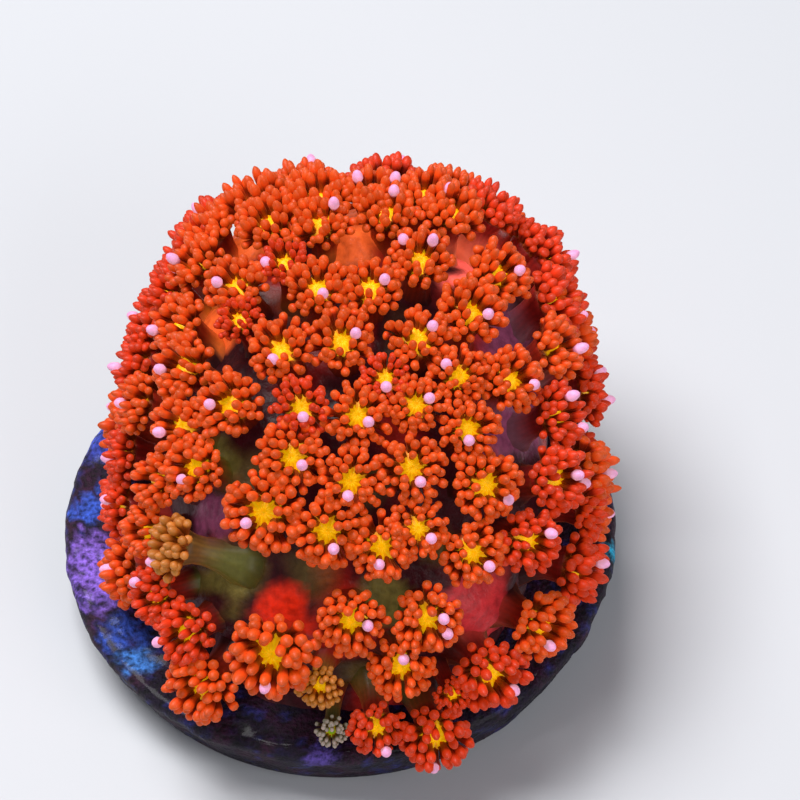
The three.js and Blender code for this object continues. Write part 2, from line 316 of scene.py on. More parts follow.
def sweep(
    centres: np.ndarray, radii: np.ndarray, side: np.ndarray, sides: int, tint: np.ndarray, glow: np.ndarray
) -> Surface:
    """Carries round sections along several paths at once.

    Each path lies in a plane whose normal is `side`. A ring's points are
    centre + radius (cos a side + sin a other), where `other` is square to the path and to `side`.

    Args:
        centres: Paths, shaped (tubes, rings, 3).
        radii: Radius at each ring, shaped (tubes, rings).
        side: Unit normal of each path's plane, shaped (tubes, 3).
        sides: Points in a ring.
        tint: Colour at each ring, shaped (tubes, rings, 3).
        glow: Glow at each ring, shaped (tubes, rings).

    Returns:
        The tubes, closed at both ends.
    """
    tubes, rings = radii.shape
    both = [0, -1]
    along = unit(np.gradient(centres, axis=1))
    across = np.broadcast_to(side[:, None, :], along.shape)
    other = np.cross(along, across)
    angle = np.linspace(0, 2 * math.pi, sides, endpoint=False)[:, None]
    turn = np.cos(angle) * across[:, :, None, :] + np.sin(angle) * other[:, :, None, :]
    skin = centres[:, :, None, :] + radii[:, :, None, None] * turn
    past = radii[:, both, None] * np.array([-END_POINT, END_POINT])[:, None]
    ends = centres[:, both, :] + along[:, both, :] * past
    points = np.concatenate([skin.reshape(tubes, -1, 3), ends], axis=1)
    colours = np.concatenate([np.repeat(tint, sides, axis=1), tint[:, both, :]], axis=1)
    shine = np.concatenate([np.repeat(glow, sides, axis=1), glow[:, both]], axis=1)
    quads, tris = tube_faces(tubes, rings, sides)
    return Surface(points.reshape(-1, 3), quads, tris, colours.reshape(-1, 3), shine.ravel())


def closed(
    skin: np.ndarray, ends: np.ndarray, tint: np.ndarray, tips: np.ndarray, glow: np.ndarray | float
) -> Surface:
    """Makes one tube of a grid of points and closes each of its ends on a point.

    Args:
        skin: The grid, shaped (rings, sides, 3).
        ends: The points at its start and its end.
        tint: Colours of the grid, shaped (rings, sides, 3).
        tips: Colours of the two end points.
        glow: Glow of all points, those of the grid first, or one glow for all.

    Returns:
        The tube.
    """
    points = np.concatenate([skin.reshape(-1, 3), ends])
    quads, tris = tube_faces(1, *skin.shape[:2])
    colours = np.concatenate([tint.reshape(-1, 3), tips])
    return Surface(points, quads, tris, colours, glow * np.ones(len(points)))


def turned(radius: np.ndarray | float, height: np.ndarray | float, angle: np.ndarray) -> np.ndarray:
    """Points round Z: x is the radius times cos a, y the radius times sin a, and z the height.

    Args:
        radius: Distances from Z.
        height: Heights.
        angle: Angles from X, in radians.

    Returns:
        A point for each of them, with the arrays stretched to fit each other.
    """
    return np.stack(np.broadcast_arrays(radius * np.cos(angle), radius * np.sin(angle), height), -1)


def ripple(points: np.ndarray, wavelength: float, seed: int, waves: int = 14) -> np.ndarray:
    """A smooth random value at each point: the sum of plane waves in random directions.

    Args:
        points: Places, in millimetres.
        wavelength: Typical distance from crest to crest.
        seed: Picks the waves.
        waves: How many waves are summed.

    Returns:
        A value about -1 to 1 for each point.
    """
    rng = np.random.default_rng(SEED + seed)
    way = rng.normal(size=(waves, 3))
    spread = rng.uniform(*WAVE_SPREAD, (waves, 1))
    way *= (2 * math.pi / wavelength) * spread / np.linalg.norm(way, axis=1, keepdims=True)
    phase = rng.uniform(0, 2 * math.pi, waves)
    return np.sin(points @ way.T + phase).sum(-1) / math.sqrt(2.0 * waves)


@dataclass(frozen=True)
class Wave:
    """A random ripple in a rough surface or a ragged edge.

    Args:
        height: Its height.
        length: Typical distance from crest to crest.
        seed: Picks its shape.
    """

    height: float
    length: float
    seed: int


def rough(points: np.ndarray, waves: tuple[Wave, ...], shift: int = 0) -> np.ndarray:
    """Sums several ripples.

    Args:
        points: Places.
        waves: The ripples.
        shift: Number added to each ripple's seed.

    Returns:
        A value for each place.
    """
    return sum(wave.height * ripple(points, wave.length, wave.seed + shift) for wave in waves)


def smooth(low: float, high: float, value: np.ndarray) -> np.ndarray:
    """Rises softly from 0 at `low` to 1 at `high`.

    Args:
        low: Where it starts to rise.
        high: Where it has risen.
        value: Where it is read.

    Returns:
        0 to 1 for each value.
    """
    part = np.clip((value - low) / (high - low), 0.0, 1.0)
    return part * part * (3.0 - 2.0 * part)


def mix(low: np.ndarray, high: np.ndarray, share: np.ndarray) -> np.ndarray:
    """Blends two colours by a share for each point.

    Args:
        low: Colour, or colours, at share 0.
        high: Colour, or colours, at share 1.
        share: 0 to 1, without the colour axis.

    Returns:
        The blended colours.
    """
    return low + (high - low) * share[..., None]


@dataclass(frozen=True)
class Stain:
    """Stretches of another colour, which show where the sum of some ripples is high.

    Args:
        colour: Their colour.
        waves: The ripples.
        low: Sum at which the colour starts.
        high: Sum at which it is full.
        share: Share of the colour where it is full.
    """

    colour: np.ndarray
    waves: tuple[Wave, ...]
    low: float
    high: float
    share: float = 1.0


def stained(base: np.ndarray, stains: tuple[Stain, ...], points: np.ndarray) -> np.ndarray:
    """Colours places with a base colour and its stains.

    Args:
        base: The base colour.
        stains: The stains, in the order in which they are laid.
        points: The places.

    Returns:
        A colour for each place.
    """
    tint = base
    for stain in stains:
        full = smooth(stain.low, stain.high, rough(points, stain.waves))
        tint = mix(tint, stain.colour, stain.share * full)
    return tint


def unit(vectors: np.ndarray) -> np.ndarray:
    """Scales vectors to length 1.

    Args:
        vectors: Vectors, with their three values on the last axis.

    Returns:
        The unit vectors.
    """
    return vectors / np.linalg.norm(vectors, axis=-1, keepdims=True)


@dataclass(frozen=True)
class Eye:
    """The viewer, as a pinhole camera.

    Args:
        place: Where it is.
        pitch: Degrees that it looks down.
        roll: Degrees that it is rolled.
        lens: Focal length for the camera's sensor.
    """

    place: tuple[float, float, float] = (2.935, -96.317, 142.781)
    pitch: float = 53.49
    roll: float = 1.74
    lens: float = 165.1

    @property
    def look(self) -> np.ndarray:
        """Unit vector of the line of sight."""
        pitch = math.radians(self.pitch)
        return np.array([0.0, math.cos(pitch), -math.sin(pitch)])

    @property
    def right(self) -> np.ndarray:
        """Unit vector to the right in the view."""
        level = np.array([1.0, 0.0, 0.0])
        roll = math.radians(self.roll)
        return level * math.cos(roll) + np.cross(self.look, level) * math.sin(roll)

    @property
    def up(self) -> np.ndarray:
        """Unit vector upward in the view."""
        return np.cross(self.right, self.look)


@dataclass(frozen=True)
class Dome:
    """The dome on which the polyps' mouths lie. It leans back as it rises.

    A point is on it where |x|^p + |y|^p + |z|^p = 1, with x, y and z measured from its middle in
    half-sizes and x and y less the lean times the rise.

    Args:
        middle: Its middle.
        half: Its half-sizes along X, Y and Z.
        power: The power p: 2 is an ellipsoid, more is boxier.
        lean: How far it leans right and back for each millimetre of rise.
        column: How far inside it the flesh of the mound is.
        undercut: How much further inside the flesh is where it is undercut most.
        undercut_top: Height at which the undercut starts.
        foot: Height at which the undercut is full.
    """

    middle: tuple[float, float, float] = (0.7, -1.4, 5.0)
    half: tuple[float, float, float] = (10.4, 11.3, 13.1)
    power: float = 2.6
    lean: tuple[float, float] = (0.06, 0.34)
    column: float = 1.8
    undercut: float = 2.0
    undercut_top: float = 9.0
    foot: float = 3.5

    def from_middle(self, points: np.ndarray) -> np.ndarray:
        """Places of points from the dome's middle, with its lean taken out.

        Args:
            points: Places.

        Returns:
            Places from the middle of an upright dome.
        """
        away = points - np.array(self.middle)
        return away - np.array([*self.lean, 0.0]) * away[..., 2:]

    def value(self, points: np.ndarray) -> np.ndarray:
        """1 on the dome, less inside and more outside.

        Args:
            points: Places.

        Returns:
            A value for each place.
        """
        return (np.abs(self.from_middle(points) / np.array(self.half)) ** self.power).sum(-1)

    def normal(self, points: np.ndarray) -> np.ndarray:
        """Unit vectors out of the dome.

        Args:
            points: Places near the dome.

        Returns:
            The unit vectors.
        """
        share = self.from_middle(points) / np.array(self.half)
        steep = np.sign(share) * np.abs(share) ** (self.power - 1) / np.array(self.half)
        steep[..., 2] -= steep[..., :2] @ np.array(self.lean)
        return unit(steep)

    def point(self, ways: np.ndarray, inset: np.ndarray | float) -> np.ndarray:
        """Points of the dome in given directions from its middle.

        Args:
            ways: Directions, of any length.
            inset: How much less the half-sizes are.

        Returns:
            The points.
        """
        half = np.array(self.half) - np.asarray(inset)[..., None]
        reach = (np.abs(ways / half) ** self.power).sum(-1) ** (-1 / self.power)
        upright = ways * reach[..., None]
        return upright + np.array([*self.lean, 0.0]) * upright[..., 2:] + np.array(self.middle)

    def flesh_inset(self, ways: np.ndarray) -> np.ndarray:
        """How far inside the dome the mound's flesh is, in given directions.

        Args:
            ways: Directions from the dome's middle.

        Returns:
            The inset in each direction.
        """
        height = self.point(ways, self.column)[..., 2]
        low = np.clip((self.undercut_top - height) / (self.undercut_top - self.foot), 0, 1)
        return self.column + self.undercut * low ** 2

    def seen(self, eye: Eye, base: float, right: np.ndarray, up: np.ndarray) -> np.ndarray:
        """Where lines of sight first meet the dome, or pass nearest it.

        Args:
            eye: The viewer.
            base: Height of the disc's top, from whose middle the places in the view are measured.
            right: Places in the view, to the right.
            up: Places in the view, upward.

        Returns:
            The points.
        """
        target = np.array([0, 0, base]) + right[:, None] * eye.right + up[:, None] * eye.up
        sight = unit(target - np.array(eye.place))
        steps = np.arange(-SIGHT_REACH, SIGHT_REACH, SIGHT_STEP)
        path = target[:, None, :] + steps[:, None] * sight[:, None, :]
        value = self.value(path)
        inside = value < 1.0
        first = np.where(inside.any(1), inside.argmax(1), value.argmin(1))
        return path[np.arange(len(path)), first]


def set_inputs(node: bpy.types.Node, values: dict[str, float | tuple[float, ...]]) -> None:
    """Sets inputs of a shader node.

    Args:
        node: The node.
        values: The value for the name of each input.
    """
    for name, value in values.items():
        node.inputs[name].default_value = value


@dataclass(frozen=True)
class LivingSkin:
    """The shader node group of living skin, built once and placed in each material.

    The painted colour is made lighter and darker by a fine grain. The glow is painted light, as the skin is
    no lamp: that colour times a warmth, which raises its green, and times the share with which each point
    glows.

    Args:
        name: Name of the group.
        detail: Octaves of the grain.
        low: Value of the noise at which the skin is darkest.
        high: Value of the noise at which it is lightest.
    """

    name: str = "living skin"
    detail: float = 3.0
    low: float = 0.3
    high: float = 0.7

    def build(self) -> bpy.types.NodeTree:
        """Makes the group.

        Returns:
            A group with the inputs Grain Scale, Darkest, Lightest and Warmth, and the outputs
            Colour, Glow and Height.
        """
        tree = bpy.data.node_groups.new(self.name, "ShaderNodeTree")
        for name, way, kind in (
            ("Grain Scale", "INPUT", "Float"), ("Darkest", "INPUT", "Float"), ("Lightest", "INPUT", "Float"),
            ("Warmth", "INPUT", "Vector"), ("Colour", "OUTPUT", "Color"), ("Glow", "OUTPUT", "Color"),
            ("Height", "OUTPUT", "Float"),
        ):
            tree.interface.new_socket(name, in_out=way, socket_type=f"NodeSocket{kind}")
        given = tree.nodes.new("NodeGroupInput").outputs
        out = tree.nodes.new("NodeGroupOutput").inputs
        place = tree.nodes.new("ShaderNodeTexCoord")
        paint = tree.nodes.new("ShaderNodeAttribute")
        paint.attribute_name = TINT
        share = tree.nodes.new("ShaderNodeAttribute")
        share.attribute_name = GLOW
        noise = tree.nodes.new("ShaderNodeTexNoise")
        set_inputs(noise, {"Detail": self.detail})
        span = tree.nodes.new("ShaderNodeMapRange")
        set_inputs(span, {"From Min": self.low, "From Max": self.high})
        mottled, warm, shine = (tree.nodes.new("ShaderNodeVectorMath") for _ in range(3))
        mottled.operation = "SCALE"
        warm.operation = "MULTIPLY"
        shine.operation = "SCALE"
        for source, target in (
            (place.outputs["Object"], noise.inputs["Vector"]),
            (given["Grain Scale"], noise.inputs["Scale"]),
            (given["Darkest"], span.inputs["To Min"]),
            (given["Lightest"], span.inputs["To Max"]),
            (noise.outputs["Fac"], span.inputs["Value"]),
            (paint.outputs["Color"], mottled.inputs[0]),
            (span.outputs["Result"], mottled.inputs["Scale"]),
            (mottled.outputs["Vector"], out["Colour"]),
            (mottled.outputs["Vector"], warm.inputs[0]),
            (given["Warmth"], warm.inputs[1]),
            (warm.outputs["Vector"], shine.inputs[0]),
            (share.outputs["Fac"], shine.inputs["Scale"]),
            (shine.outputs["Vector"], out["Glow"]),
            (noise.outputs["Fac"], out["Height"]),
        ):
            tree.links.new(source, target)
        return tree


@dataclass(frozen=True)
class SkinFinish:
    """Wet living skin whose colour is painted on the mesh and glows a little: the glow is painted light,
    standing in for the glow that reef light draws from it.

    Args:
        name: Name of the material.
        roughness: Roughness of the skin.
        glow: Strength of the glow, which is painted light.
        coat: Weight of the wet film.
        mottle: Share by which the colour varies over the skin.
        grain: Size of the fine grain.
        depth: Height of the grain's bumps.
        scatter: Weight of the light that spreads under the skin.
        sheen: Weight of the soft light that gathers in its translucent rim.
        warmth: How much more green the glow has than the skin: red skin glows orange.
        coat_roughness: Roughness of the wet film.
        specular: Strength of the reflection under the film.
        spread: How far red, green and blue light spread under the skin.
        spread_scale: Length that the spread is measured in.
        sheen_roughness: Roughness of the sheen.
    """

    name: str
    roughness: float
    glow: float
    coat: float
    mottle: float
    grain: float
    depth: float
    scatter: float = 0.0
    sheen: float = 0.0
    warmth: float = 1.0
    coat_roughness: float = 0.12
    specular: float = 0.3
    spread: tuple[float, float, float] = (1.0, 0.35, 0.15)
    spread_scale: float = 0.3
    sheen_roughness: float = 0.4

    def material(self, living_skin: bpy.types.NodeTree) -> bpy.types.Material:
        """Makes the material.

        Args:
            living_skin: The shared node group.

        Returns:
            The material.
        """
        material = bpy.data.materials.new(self.name)
        material.use_nodes = True
        tree = material.node_tree
        shader = tree.nodes["Principled BSDF"]
        set_inputs(shader, {
            "Roughness": self.roughness, "Specular IOR Level": self.specular,
            "Emission Strength": self.glow,
            "Coat Weight": self.coat, "Coat Roughness": self.coat_roughness,
            "Subsurface Weight": self.scatter, "Subsurface Radius": self.spread,
            "Subsurface Scale": self.spread_scale * METRES,
            "Sheen Weight": self.sheen, "Sheen Roughness": self.sheen_roughness,
            "Sheen Tint": (*SHEEN_ORANGE, 1.0),
        })
        shared = tree.nodes.new("ShaderNodeGroup")
        shared.node_tree = living_skin
        set_inputs(shared, {
            "Grain Scale": 1.0 / (self.grain * METRES), "Darkest": 1.0 - self.mottle,
            "Lightest": 1.0 + self.mottle, "Warmth": (1.0, self.warmth, 1.0),
        })
        bump = tree.nodes.new("ShaderNodeBump")
        set_inputs(bump, {"Distance": self.depth * METRES})
        tree.links.new(shared.outputs["Colour"], shader.inputs["Base Color"])
        # Painted light: the skin gives off its own colour though it is no lamp.
        tree.links.new(shared.outputs["Glow"], shader.inputs["Emission Color"])
        tree.links.new(shared.outputs["Height"], bump.inputs["Height"])
        tree.links.new(bump.outputs["Normal"], shader.inputs["Normal"])
        return material


def make_piece(name: str, surface: Surface, material: bpy.types.Material, node: str) -> None:
    """Makes a smooth mesh object of the finished part and places it in the frame.

    Args:
        name: Name of the piece.
        surface: Its mesh, in millimetres.
        material: Its material.
        node: The solid that it stands for.
    """
    mesh = bpy.data.meshes.new(name)
    quads, tris = surface.quads, surface.tris
    mesh.vertices.add(len(surface.points))
    mesh.vertices.foreach_set("co", (surface.points * METRES).astype(np.float32).ravel())
    corners = np.concatenate([quads.ravel(), tris.ravel()]).astype(np.int32)
    mesh.loops.add(len(corners))
    mesh.loops.foreach_set("vertex_index", corners)
    starts = np.concatenate([4 * np.arange(len(quads)), quads.size + 3 * np.arange(len(tris))])
    mesh.polygons.add(len(starts))
    mesh.polygons.foreach_set("loop_start", starts.astype(np.int32))
    mesh.polygons.foreach_set("use_smooth", np.ones(len(starts), bool))
    paint = mesh.attributes.new(TINT, "FLOAT_COLOR", "POINT")
    opaque = np.concatenate([surface.tint, np.ones((len(surface.tint), 1))], 1)
    paint.data.foreach_set("color", opaque.astype(np.float32).ravel())
    shine = mesh.attributes.new(GLOW, "FLOAT", "POINT")
    shine.data.foreach_set("value", surface.glow.astype(np.float32))
    mesh.update()
    mesh.validate()
    mesh.materials.append(material)
    piece = bpy.data.objects.new(name, mesh)
    bpy.context.scene.collection.objects.link(piece)
    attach(piece, "root")
    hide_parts(node)
    LOG.info("%s: %d faces", name, len(starts))


@dataclass(frozen=True)
class FleshPatch:
    """A coloured stretch of the mound that shows between the crowns.

    Args:
        right: How far right of the disc's middle it shows.
        up: How far above the disc's middle it shows.
        radius: Its radius.
        colour: Its colour.
        bulge: How far it bulges out.
    """

    right: float
    up: float
    radius: float
    colour: np.ndarray
    bulge: float = 0.0


FLESH_PATCHES = (
    FleshPatch(6.4, 12.3, 2.4, FLESH_PINK_AND_PAINTED_LIGHT), FleshPatch(0.7, 12.7, 1.8, FLESH_GOLD, 1.1),
    FleshPatch(-5.0, 13.1, 2.3, FLESH_GOLD, 2.3), FleshPatch(7.7, 8.6, 1.8, FLESH_PURPLE),
    FleshPatch(7.8, 4.6, 1.9, FLESH_PURPLE), FleshPatch(5.9, -3.6, 2.0, FLESH_SALMON),
    FleshPatch(-4.6, -2.0, 1.8, FLESH_OLIVE), FleshPatch(-2.3, -3.8, 1.6, FLESH_RED),
    FleshPatch(-5.4, 0.6, 1.4, FLESH_PURPLE), FleshPatch(-4.9, 3.0, 1.0, FLESH_OLIVE),
    FleshPatch(-5.2, 8.9, 1.3, FLESH_GOLD), FleshPatch(2.0, -3.2, 1.4, FLESH_OLIVE),
)

FLESH_STAINS = (
    Stain(FLESH_RED, (Wave(1.0, 5.0, 3),), 0.1, 0.9, 0.35),
    Stain(FLESH_OLIVE, (Wave(1.0, 4.5, 4),), 0.3, 0.9, 0.45),
)
FLESH_EDGE = (Wave(0.3, 1.5, 5),)
FAR_OFF = 9.0  # Distance past every patch's edge, in its radii


@dataclass(frozen=True)
class FleshPaint:
    """The colours of the flesh between the polyps: maroon darkened as painted shade, with red and olive
    stretches and patches, one of them brightened as painted light.

    Args:
        eye: The viewer, from whom the patches are placed.
        base: Height of the disc's top, from whose middle they are measured.
        behind: How far behind there a patch still reaches.
        core: Share of a patch's radius within which its colour is full.
        swell: Shares of its radius between which its bulge sinks to nothing.
    """

    eye: Eye
    base: float
    behind: float = 1.0
    core: float = 0.5
    swell: tuple[float, float] = (0.3, 1.3)

    def at(self, points: np.ndarray) -> np.ndarray:
        """Colours of the flesh.

        Args:
            points: Places on it.

        Returns:
            A colour for each place.
        """
        tint = stained(FLESH_MAROON_AND_SHADE, FLESH_STAINS, points)
        ragged = rough(points, FLESH_EDGE)
        for patch in FLESH_PATCHES:
            faded = smooth(self.core, 1.0, self.far(points, patch) + ragged)
            tint = mix(tint, patch.colour, 1 - faded)
        return tint

    def far(self, points: np.ndarray, patch: FleshPatch) -> np.ndarray:
        """How far places show from a patch's middle.

        Args:
            points: Places on the flesh.
            patch: The patch.

        Returns:
            Distances in the view, in the patch's radii, and far off for places behind the dome.
        """
        away = points - np.array([0.0, 0.0, self.base])
        across, upward, depth = away @ self.eye.right, away @ self.eye.up, away @ self.eye.look
        far = np.hypot(across - patch.right, upward - patch.up) / patch.radius
        return np.where(depth < self.behind, far, FAR_OFF)

    def bulge(self, points: np.ndarray) -> np.ndarray:
        """How far the patches bulge out of the mound.

        Args:
            points: Places on the flesh.

        Returns:
            A height for each place.
        """
        heights = [
            patch.bulge * (1 - smooth(*self.swell, self.far(points, patch))) for patch in FLESH_PATCHES
        ]
        return sum(heights)


@dataclass(frozen=True)
class TentacleRing:
    """One ring of a polyp's tentacles.

    Args:
        count: How many stand in it.
        root: Radius of the circle that they grow from.
        reach: Radius of the circle of their tips.
        height: Height of their tips over the mouth.
        ball: Radius of their swollen ends.
        point: 0 for a round end, 1 for a pointed one.
    """

    count: int
    root: float
    reach: float
    height: float
    ball: float
    point: float


@dataclass(frozen=True)
class TentacleForm:
    """The form and colouring that all tentacles share. Places along one run from 0 to 1 at its tip.

    Args:
        along: Places of its rings.
        inset: Share of its root's circle at which it starts.
        sink: How far under the mouth disc it starts.
        elbow_out: Share of its way outward at which its path turns up.
        elbow_up: Share of its height at which its path turns up.
        neck: Radius of its thin part.
        swell: Places between which it swells to its ball.
        pink_delay: How much later a pink ball starts to swell.
        close: Place from which its end closes.
        blunt: Power with which a round end closes.
        taper: How much is added to the power for a pointed end.
        ripe: Places between which the neck's colour turns to the ball's.
        tip: Places between which that turns to the tip's.
        lit: Places between which the mouth's colour on its root fades.
        inner: Roots on circles smaller than this take on more of the mouth's colour.
        inner_share: How much more of it they take on.
        lit_share: Share of the mouth's colour on all roots.
        rosy: Places between which a pink ball turns pink.
        neck_glow: Glow of the neck.
        ball_glow: How much more the ball glows.
        tip_painted_shade: Share by which the tip glows less than the ball, painted shade in the middle of
            the ball's end.
        pink_glow: How much more a pink ball glows.
        pink_rise: How much higher a pink ball stands.
        stray: Spread of the bearings, in radians.
        height_stray: Spread of the heights.
        reach_range: Least and greatest share of the reach.
        ball_range: Least and greatest share of the ball's radius.
        shade_range: Least and greatest brightness.
    """

    along: tuple[float, ...] = (0.0, 0.4, 0.6, 0.76, 0.87, 0.95, 0.993)
    inset: float = 0.8
    sink: float = 0.16
    elbow_out: float = 0.75
    elbow_up: float = 0.3
    neck: float = 0.12
    swell: tuple[float, float] = (0.3, 0.76)
    pink_delay: float = 0.3
    close: float = 0.78
    blunt: float = 0.5
    taper: float = 0.35
    ripe: tuple[float, float] = (0.5, 0.82)
    tip: tuple[float, float] = (0.72, 1.0)
    lit: tuple[float, float] = (0.05, 0.55)
    inner: float = 0.6
    inner_share: float = 0.55
    lit_share: float = 0.25
    rosy: tuple[float, float] = (0.6, 0.76)
    neck_glow: float = 0.1
    ball_glow: float = 0.6
    tip_painted_shade: float = 0.45
    pink_glow: float = 0.15
    pink_rise: float = 0.12
    stray: float = 0.11
    height_stray: float = 0.12
    reach_range: tuple[float, float] = (0.86, 1.1)
    ball_range: tuple[float, float] = (0.88, 1.12)
    shade_range: tuple[float, float] = (0.86, 1.1)


TENTACLE = TentacleForm()
UP = np.array([0.0, 0.0, 1.0])
VIEW_MIDDLE = np.array([0.7, 4.0])  # Middle of the colony in the view
VIEW_HALF = np.array([10.5, 12.5])  # Its half-sizes there
RIM_START = 0.75  # Share of them at which the tentacles start to be more pointed
REACH_WEIGHT = 1.2  # What a wrong reach counts against a wrong bearing, for a pink ball
COLUMN_SIDES = 36
RIDGES, RIDGE_HEIGHT = 12, 0.045  # Of the mouth disc
RIDGE_TURN = 6  # Range of their random turn
FLUTES, FLUTE_DEPTH = 9, 0.03  # Of the column, the depth as a share of its radius
STREAKS, STREAK_SHARE = 18, 0.16  # Lighter stripes down the column
DISC_RISE = (-0.1, 0.05)  # Heights between which the column's skin turns to the mouth disc's
LIP_RISE = (0.08, 0.2)  # Heights between which the ridges' colour fades
MOUTH_HEIGHT = 0.12  # Height of the mouth's middle
# Painted light: the mouth disc glows strongly and the column a little.
COLUMN_GLOW, MOUTH_GLOW = 0.05, 0.7
FLESHY = (0.2, 0.6)  # Shares of a column's length between which its colour turns to the mound's


@dataclass
class Polyp:
    """One polyp: a column, a mouth disc and rings of club-shaped tentacles.

    Args:
        name: Name of the piece.
        place: Where its mouth is.
        axis: Unit vector that it faces along.
        root: Where its column grows from.
        site: What it is like.
        paint: Colours of the mound's flesh, which its column takes on toward the root.
        seed: Picks its chance variations.
        pink_radius: Radius of a pink ball, whatever the polyp's size.
        edge_point: How much more pointed tentacles are at the edge of the colony.
        disc_radius: Radius of the mouth disc.
        waist_radius: Radius of the column's thinnest part.
        foot_radius: Radius that the column's foot is measured by.
        length: Length of the column, whatever the polyp's size.
        sides: Points round a tentacle.
        ball_sides: Points round a tentacle with a pink ball.
        root_glow: How much more the column glows where it has the mound's colour, painted light as on the
            mound.
        rings: The rings of tentacles, from the innermost.
        frame: Its own axes, worked out from the one that it faces along.
    """

    name: str
    place: np.ndarray
    axis: np.ndarray
    root: np.ndarray
    site: Site
    paint: FleshPaint
    seed: int
    pink_radius: float = 0.25
    edge_point: float = 0.35
    disc_radius: float = 0.74
    waist_radius: float = 0.62
    foot_radius: float = 0.9
    length: float = 2.9
    sides: int = 9
    ball_sides: int = 14
    root_glow: float = 0.6
    rings: tuple[TentacleRing, ...] = (
        TentacleRing(7, 0.5, 0.68, 1.12, 0.195, 0.05),
        TentacleRing(12, 0.6, 1.04, 0.98, 0.2, 0.1),
        TentacleRing(15, 0.68, 1.34, 0.68, 0.2, 0.15),
        TentacleRing(13, 0.74, 1.5, 0.28, 0.2, 0.3),
    )
    frame: np.ndarray = field(init=False)

    def __post_init__(self) -> None:
        """Works out the polyp's own axes: right in the view, up in the view and out along its axis."""
        across = unit(np.cross(np.cross(self.axis, Eye().right), self.axis))
        self.frame = np.stack([across, np.cross(self.axis, across), self.axis])

    def pink_ones(self, bearing: np.ndarray, reach: np.ndarray) -> np.ndarray:
        """Picks the tentacles that end in a pink ball: those that come nearest the places of the site.

        Args:
            bearing: Bearing of each tentacle, counterclockwise from the polyp's own right.
            reach: Reach of each.

        Returns:
            True for those with a pink ball.
        """
        pink = np.zeros(len(bearing), bool)
        for right, up in self.site.pinks:
            aside = np.abs(np.angle(np.exp(1j * (bearing - math.atan2(up, right)))))
            short = np.abs(reach * self.site.size - math.hypot(right, up))
            pink[(aside + REACH_WEIGHT * short + pink).argmin()] = True
        return pink

    def tentacles(self, rng: np.random.Generator) -> Surface:
        """Makes the tentacles.

        A tentacle's path is a quadratic curve that leaves the mouth disc outward and turns up to its
        tip. Its radius is that of the neck, swells to the ball at three quarters of its length, and
        closes as (1 - u^2)^q, where u runs from the ball to the tip and q is 0.5 for a round end.

        Args:
            rng: Source of the chance variations.

        Returns:
            All tentacles, in the polyp's own axes.
        """
        form = TENTACLE
        colours = TONES[self.site.tone]
        counts = [ring.count for ring in self.rings]
        count = sum(counts)
        spread = np.array([[r.root, r.reach, r.height, r.ball, r.point] for r in self.rings])
        root, reach, height, ball, point = np.repeat(spread, counts, axis=0).T
        bearing = np.concatenate([
            2 * math.pi * (np.arange(many) + 0.5 * (number % 2)) / many for number, many in enumerate(counts)
        ])
        bearing = bearing + rng.uniform(0, 2 * math.pi) + rng.normal(0, form.stray, count)
        reach = reach * rng.uniform(*form.reach_range, count)
        shown = (np.array([self.site.right, self.site.up]) - VIEW_MIDDLE) / VIEW_HALF
        point = np.minimum(point + self.edge_point * smooth(RIM_START, 1.0, np.hypot(*shown)), 1.0)
        height = height + rng.normal(0, form.height_stray, count)
        ball = ball * rng.uniform(*form.ball_range, count)
        pink = self.pink_ones(bearing, reach)
        ball = np.where(pink, self.pink_radius / self.site.size, ball)
        point = np.where(pink, 0.0, point)
        height = np.where(pink, height + form.pink_rise, height)
        out = turned(1.0, 0.0, bearing)
        side = np.cross(UP, out)
        start = out * (form.inset * root)[:, None] - form.sink * UP
        elbow = root + form.elbow_out * (reach - root)
        turn = out * elbow[:, None] + UP * (form.elbow_up * height)[:, None]
        end = out * reach[:, None] + UP * height[:, None]
        along = np.array([form.along])
        s = along[..., None]
        centres = (1 - s) ** 2 * start[:, None] + 2 * s * (1 - s) * turn[:, None] + s ** 2 * end[:, None]
        first, last = form.swell
        swell = smooth(first + form.pink_delay * pink[:, None], last, along)
        radius = form.neck + (ball[:, None] - form.neck) * swell
        closing = np.clip((along - form.close) / (1 - form.close), 0, 1)
        radius = radius * (1 - closing ** 2) ** (form.blunt + form.taper * point[:, None])
        shade = rng.uniform(*form.shade_range, count)[:, None, None]
        each = np.ones((count, 1))
        ripe = smooth(*form.ripe, along) * each
        # The neck's dark colour is painted shade between the balls.
        tint = mix(colours.neck, colours.ball, ripe)
        # The tip's colour is partly painted light: with its dimmer glow it makes a ball's end darker in the
        # middle than at its rim.
        tint = mix(tint, colours.tip, smooth(*form.tip, along) * each)
        lit = (root < form.inner)[:, None] * form.inner_share + form.lit_share
        tint = mix(tint, MOUTH_DEEP, (1 - smooth(*form.lit, along)) * lit) * shade
        rosy = smooth(*form.rosy, along) * pink[:, None]
        tint = mix(tint, BALL_PINK, rosy)
        # Painted light: the ball glows more than the neck, and less at its very tip.
        shaded_tip = 1 - form.tip_painted_shade * smooth(form.close, 1.0, along)
        glow = (form.neck_glow + form.ball_glow * ripe) * shaded_tip + form.pink_glow * rosy
        return Surface.joined([
            sweep(centres[chosen], radius[chosen], side[chosen], sides, tint[chosen], glow[chosen])
            for chosen, sides in ((~pink, self.sides), (pink, self.ball_sides)) if chosen.any()
        ])

